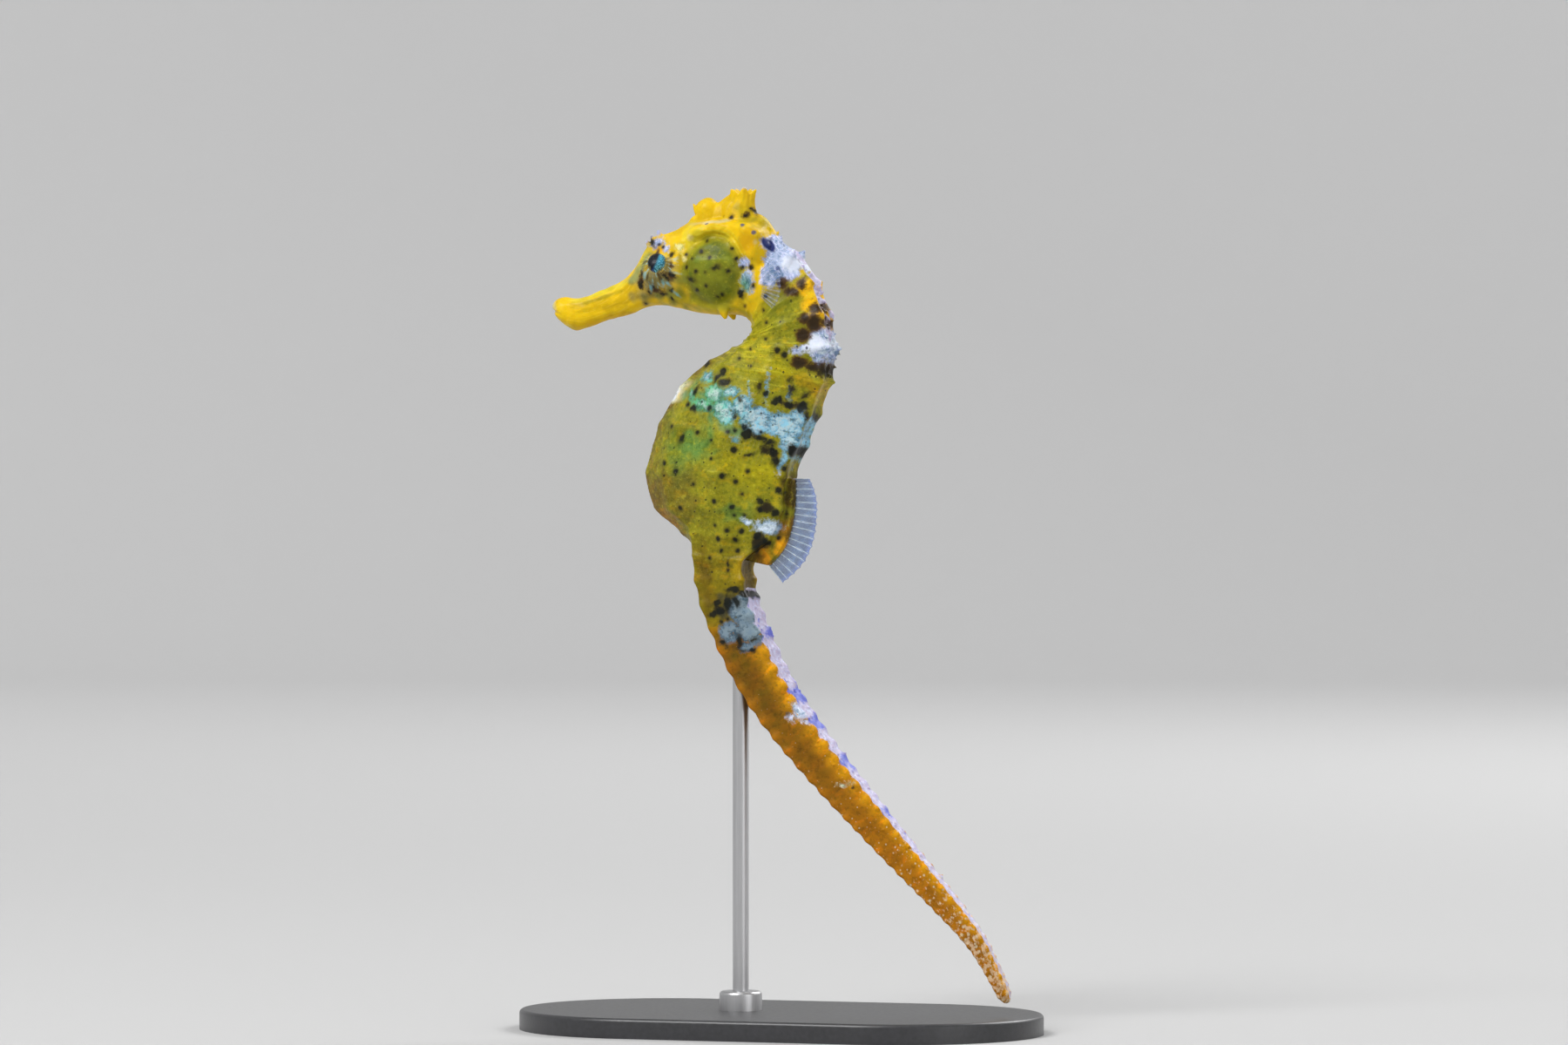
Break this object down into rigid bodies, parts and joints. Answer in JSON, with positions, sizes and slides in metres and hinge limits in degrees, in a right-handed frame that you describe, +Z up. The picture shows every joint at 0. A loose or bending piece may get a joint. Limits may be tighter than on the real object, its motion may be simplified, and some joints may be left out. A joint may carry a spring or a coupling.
{
  "type": "seahorse model on a display stand",
  "caption": "Life-size still model of a slender longsnout seahorse swimming upright, held up by a plain rod on a flat stadium-shaped base.",
  "frame": {"origin": "middle of the stand base's underside, on the surface it stands on", "axes": "+Z up; the snout points to -X and the animal's left side faces -Y; its plane of symmetry is y = 0"},
  "size_m": [0.08, 0.044, 0.126],
  "materials": {
    "yellow_skin": "moist fish skin over bony plates, bright yellow with dark round spots",
    "belly_skin": "moist fish skin, olive yellow with fine cross lines, dark spots and pale blue-white saddles",
    "orange_skin": "moist fish skin, orange with a pale lilac back and small white dots",
    "eye": "wet glossy eye with a dark pupil and a blue-green glint",
    "fin": "thin translucent membrane with whitish rays",
    "stand_steel": "satin brushed steel",
    "stand_base": "black powder coat, fine satin texture"
  },
  "bodies": {
    "root": {"snout": "yellow_skin", "head": "yellow_skin", "coronet": "yellow_skin", "neck": "yellow_skin", "left_eye": "eye", "right_eye": "eye", "trunk_upper": "belly_skin", "trunk_lower": "belly_skin", "dorsal_fin_base": "orange_skin", "dorsal_fin": "fin", "left_pectoral_fin": "fin", "right_pectoral_fin": "fin", "tail_1": "orange_skin", "tail_2": "orange_skin", "tail_3": "orange_skin", "tail_4": "orange_skin", "tail_5": "orange_skin", "tail_6": "orange_skin", "stand_base": "stand_base", "stand_rod": "stand_steel", "stand_collar": "stand_steel"}
  },
  "joints": []
}
